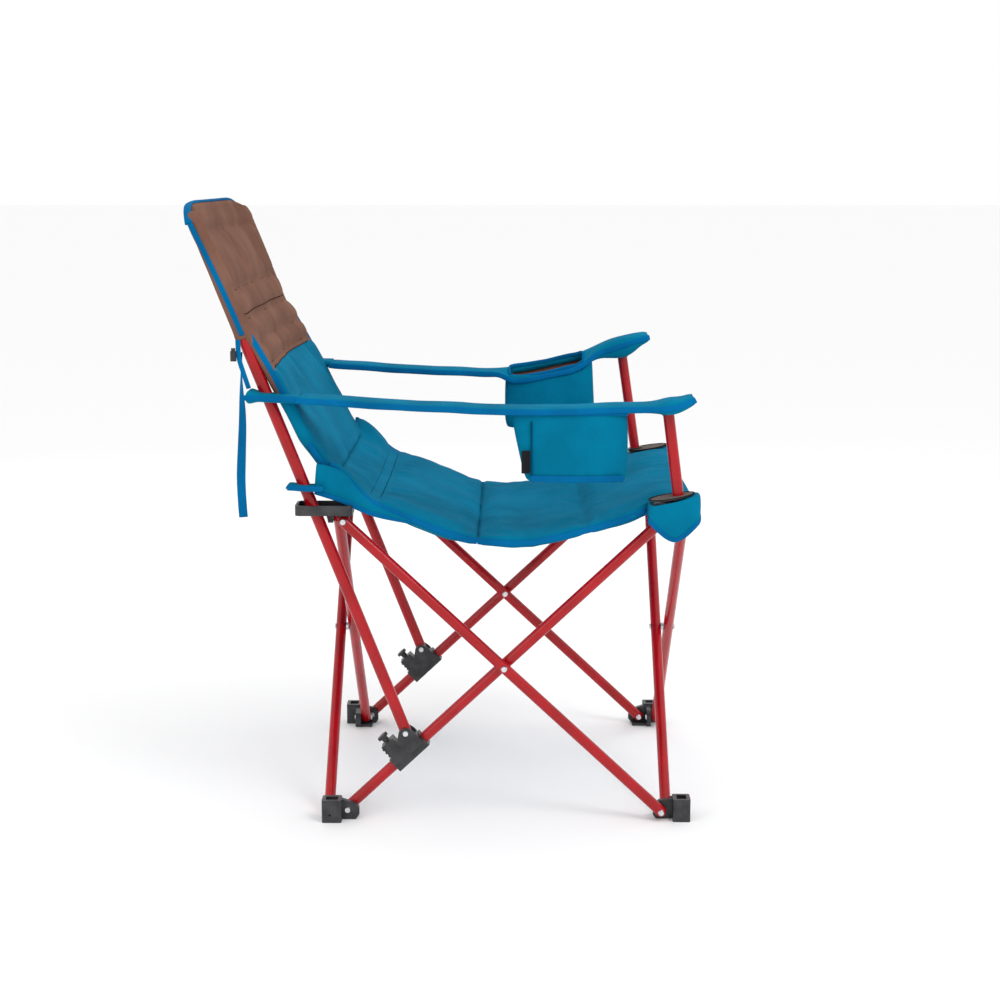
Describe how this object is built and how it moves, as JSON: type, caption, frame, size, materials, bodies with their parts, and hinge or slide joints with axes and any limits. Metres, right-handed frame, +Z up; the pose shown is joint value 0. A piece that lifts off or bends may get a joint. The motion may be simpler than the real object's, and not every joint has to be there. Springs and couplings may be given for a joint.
{
  "type": "folding camp chair",
  "caption": "Folding camp chair with a steel cross-bar frame, quilted reclining back, sling seat, padded fabric arms, cooler pocket and side pocket.",
  "frame": {"origin": "on the floor, at the middle of the chair's box", "axes": "+Z up, -Y is the way a sitter faces, -X is the sitter's right"},
  "size_m": [0.6266, 0.8304, 1.0038],
  "materials": {
    "red_tube": "gloss powder coat",
    "black_plastic": "moulded, fine texture",
    "rivet_steel": "zinc plated",
    "blue_fabric": "woven polyester",
    "brown_fabric": "quilted woven polyester",
    "blue_binding": "ribbed polyester tape",
    "grey_patch": "coated woven polyester"
  },
  "bodies": {
    "root": {"foot_front_right": "black_plastic", "foot_rivets_front_right": "rivet_steel"},
    "bar_right_outer": {"bar_right_outer": "red_tube", "crossing_rivet_right": "rivet_steel"},
    "bar_right_inner": {"bar_right_inner": "red_tube"},
    "foot_rear_right": {"foot_rear_right": "black_plastic", "foot_rivets_rear_right": "rivet_steel"},
    "hub_front_right": {"hub_front_right": "black_plastic", "hub_rivets_front_right": "rivet_steel", "arm_post_right": "red_tube", "arm_post_cap_right": "black_plastic", "arm_right": "blue_fabric", "side_pocket": "blue_fabric", "seat_corner_front_right": "blue_fabric"},
    "hub_rear_right": {"hub_rear_right": "black_plastic", "hub_rivets_rear_right": "rivet_steel", "seat_tab_right": "blue_fabric"},
    "bar_front_inner": {"bar_front_inner": "red_tube"},
    "bar_front_outer": {"bar_front_outer": "red_tube", "crossing_rivet_front": "rivet_steel"},
    "foot_front_left": {"foot_front_left": "black_plastic", "foot_rivets_front_left": "rivet_steel"},
    "hub_front_left": {"hub_front_left": "black_plastic", "hub_rivets_front_left": "rivet_steel", "arm_post_left": "red_tube", "arm_post_cap_left": "black_plastic", "arm_left": "blue_fabric", "cooler_pocket": "blue_fabric", "seat_corner_front_left": "blue_fabric"},
    "bar_rear_outer": {"bar_rear_outer": "red_tube", "crossing_rivet_rear": "rivet_steel"},
    "bar_rear_inner": {"bar_rear_inner": "red_tube"},
    "foot_rear_left": {"foot_rear_left": "black_plastic", "foot_rivets_rear_left": "rivet_steel"},
    "hub_rear_left": {"hub_rear_left": "black_plastic", "hub_rivets_rear_left": "rivet_steel", "seat_tab_left": "blue_fabric"},
    "bar_left_inner": {"bar_left_inner": "red_tube"},
    "bar_left_outer": {"bar_left_outer": "red_tube", "crossing_rivet_left": "rivet_steel"},
    "slider_right": {"slider_bracket_right": "black_plastic"},
    "slider_left": {"slider_bracket_left": "black_plastic"},
    "back_pivot_right": {"back_pivot_rivet_right": "rivet_steel"},
    "back_pivot_left": {"back_pivot_rivet_left": "rivet_steel"},
    "back_right": {"back_tube_right": "red_tube", "back_tube_cap_right": "black_plastic", "back_sleeve_right": "brown_fabric", "arm_tab_right": "blue_fabric", "back_panel": "brown_fabric", "hanging_strap": "blue_binding", "cord_lock": "black_plastic"},
    "back_left": {"back_tube_left": "red_tube", "back_tube_cap_left": "black_plastic", "back_sleeve_left": "brown_fabric", "arm_tab_left": "blue_fabric"},
    "pull_pin_right": {"pull_pin_right": "black_plastic"},
    "pull_pin_left": {"pull_pin_left": "black_plastic"},
    "seat_front": {"seat_front_panel": "blue_fabric"},
    "seat_rear": {"seat_rear_panel": "blue_fabric"}
  },
  "joints": [
    {"name": "fold", "type": "hinge", "parent": "root", "child": "bar_right_outer", "pos_m": [-0.28933, -0.35849, 0.016], "axis": [1, 0, 0], "range_deg": [0, 36.8], "deforming": ["seat_front_panel", "seat_rear_panel", "back_panel", "arm_right", "arm_left", "side_pocket", "cooler_pocket", "seat_corner_front_right", "seat_corner_front_left", "seat_tab_right", "seat_tab_left", "arm_tab_right", "arm_tab_left", "back_sleeve_left", "back_sleeve_right", "hanging_strap"]},
    {"name": "right_crossing", "type": "hinge", "parent": "bar_right_outer", "child": "bar_right_inner", "pos_m": [-0.27833, -0.10117, 0.25765], "axis": [-1, 0, 0], "range_deg": [0, 74.6]},
    {"name": "foot_rear_right_pivot", "type": "hinge", "parent": "bar_right_inner", "child": "foot_rear_right", "pos_m": [-0.26733, 0.15616, 0.016], "axis": [1, 0, 0], "range_deg": [0, 37.8]},
    {"name": "hub_front_right_pivot", "type": "hinge", "parent": "bar_right_inner", "child": "hub_front_right", "pos_m": [-0.26733, -0.35849, 0.49929], "axis": [1, 0, 0], "range_deg": [0, 37.8]},
    {"name": "hub_rear_right_pivot", "type": "hinge", "parent": "bar_right_outer", "child": "hub_rear_right", "pos_m": [-0.28933, 0.15616, 0.49929], "axis": [-1, 0, 0], "range_deg": [0, 37.8]},
    {"name": "foot_front_right_pivot", "type": "hinge", "parent": "root", "child": "bar_front_inner", "pos_m": [-0.25733, -0.36849, 0.016], "axis": [0, -1, 0], "range_deg": [0, 37.8]},
    {"name": "front_crossing", "type": "hinge", "parent": "bar_front_inner", "child": "bar_front_outer", "pos_m": [0, -0.37949, 0.25765], "axis": [0, 1, 0], "range_deg": [0, 74.6]},
    {"name": "foot_front_left_pivot", "type": "hinge", "parent": "bar_front_outer", "child": "foot_front_left", "pos_m": [0.25733, -0.39049, 0.016], "axis": [0, -1, 0], "range_deg": [0, 37.8]},
    {"name": "hub_front_left_pivot", "type": "hinge", "parent": "bar_front_inner", "child": "hub_front_left", "pos_m": [0.25733, -0.36849, 0.49929], "axis": [0, 1, 0], "range_deg": [0, 37.8]},
    {"name": "rear_bar_foot_pivot", "type": "hinge", "parent": "foot_rear_right", "child": "bar_rear_outer", "pos_m": [-0.25733, 0.18816, 0.016], "axis": [0, -1, 0], "range_deg": [0, 37.8]},
    {"name": "rear_crossing", "type": "hinge", "parent": "bar_rear_outer", "child": "bar_rear_inner", "pos_m": [0, 0.17716, 0.25765], "axis": [0, 1, 0], "range_deg": [0, 74.6]},
    {"name": "foot_rear_left_pivot", "type": "hinge", "parent": "bar_rear_inner", "child": "foot_rear_left", "pos_m": [0.25733, 0.16616, 0.016], "axis": [0, -1, 0], "range_deg": [0, 37.8]},
    {"name": "hub_rear_left_pivot", "type": "hinge", "parent": "bar_rear_outer", "child": "hub_rear_left", "pos_m": [0.25733, 0.18816, 0.49929], "axis": [0, 1, 0], "range_deg": [0, 37.8]},
    {"name": "left_bar_foot_pivot", "type": "hinge", "parent": "foot_front_left", "child": "bar_left_inner", "pos_m": [0.26733, -0.35849, 0.016], "axis": [1, 0, 0], "range_deg": [0, 37.8]},
    {"name": "left_crossing", "type": "hinge", "parent": "bar_left_inner", "child": "bar_left_outer", "pos_m": [0.27833, -0.10117, 0.25765], "axis": [-1, 0, 0], "range_deg": [0, 74.6]},
    {"name": "recline", "type": "slide", "parent": "bar_right_inner", "child": "slider_right", "axis": [0, -0.729, 0.6845], "range_m": [-0.02, 0]},
    {"name": "slider_left_slide", "type": "slide", "parent": "bar_left_outer", "child": "slider_left", "axis": [0, -0.729, 0.6845], "range_m": [-0.021, 0]},
    {"name": "back_carry_right", "type": "hinge", "parent": "bar_right_inner", "child": "back_pivot_right", "pos_m": [-0.27833, 0.47486, 0.57508], "axis": [1, 0, 0], "range_deg": [0, 2.22]},
    {"name": "back_pivot_right", "type": "hinge", "parent": "back_pivot_right", "child": "back_right", "pos_m": [-0.27833, 0.05963, 0.14752], "axis": [1, 0, 0], "range_deg": [0, 55.55]},
    {"name": "back_carry_left", "type": "hinge", "parent": "bar_left_outer", "child": "back_pivot_left", "pos_m": [0.27833, 0.47486, 0.57508], "axis": [1, 0, 0], "range_deg": [0, 2.22]},
    {"name": "back_pivot_left", "type": "hinge", "parent": "back_pivot_left", "child": "back_left", "pos_m": [0.27833, 0.05963, 0.14752], "axis": [1, 0, 0], "range_deg": [0, 55.55]},
    {"name": "pull_pin_right", "type": "slide", "parent": "slider_right", "child": "pull_pin_right", "axis": [0, 0.6845, 0.729], "range_m": [0, 0.007], "stiffness_N_per_m": 250, "springref_m": -0.006},
    {"name": "pull_pin_left", "type": "slide", "parent": "slider_left", "child": "pull_pin_left", "axis": [0, 0.6845, 0.729], "range_m": [0, 0.007], "stiffness_N_per_m": 250, "springref_m": -0.006},
    {"name": "seat_front_drop", "type": "hinge", "parent": "hub_front_right", "child": "seat_front", "pos_m": [-0.27833, -0.39116, 0.529], "axis": [-1, 0, 0], "range_deg": [0, 66.32]},
    {"name": "seat_rear_drop", "type": "hinge", "parent": "hub_rear_right", "child": "seat_rear", "pos_m": [-0.27833, 0.14483, 0.542], "axis": [1, 0, 0], "range_deg": [0, 62.27]}
  ],
  "couplings": [
    {"joint": "right_crossing", "follows": "fold", "ratio": 2},
    {"joint": "foot_rear_right_pivot", "follows": "fold", "ratio": 1},
    {"joint": "hub_front_right_pivot", "follows": "fold", "ratio": 1},
    {"joint": "hub_rear_right_pivot", "follows": "fold", "ratio": 1},
    {"joint": "foot_front_right_pivot", "follows": "fold", "ratio": 1},
    {"joint": "front_crossing", "follows": "fold", "ratio": 2},
    {"joint": "foot_front_left_pivot", "follows": "fold", "ratio": 1},
    {"joint": "hub_front_left_pivot", "follows": "fold", "ratio": 1},
    {"joint": "rear_bar_foot_pivot", "follows": "fold", "ratio": 1},
    {"joint": "rear_crossing", "follows": "fold", "ratio": 2},
    {"joint": "foot_rear_left_pivot", "follows": "fold", "ratio": 1},
    {"joint": "hub_rear_left_pivot", "follows": "fold", "ratio": 1},
    {"joint": "left_bar_foot_pivot", "follows": "fold", "ratio": 1},
    {"joint": "left_crossing", "follows": "fold", "ratio": 2},
    {"joint": "slider_left_slide", "follows": "recline", "ratio": 1},
    {"joint": "back_carry_right", "follows": "recline", "rad_per_m": -1.6779},
    {"joint": "back_pivot_right", "follows": "fold", "ratio": 1.4823},
    {"joint": "back_carry_left", "follows": "recline", "rad_per_m": -1.6779},
    {"joint": "back_pivot_left", "follows": "fold", "ratio": 1.4823},
    {"joint": "seat_front_drop", "follows": "fold", "ratio": 1.775},
    {"joint": "seat_rear_drop", "follows": "fold", "ratio": 1.665}
  ]
}
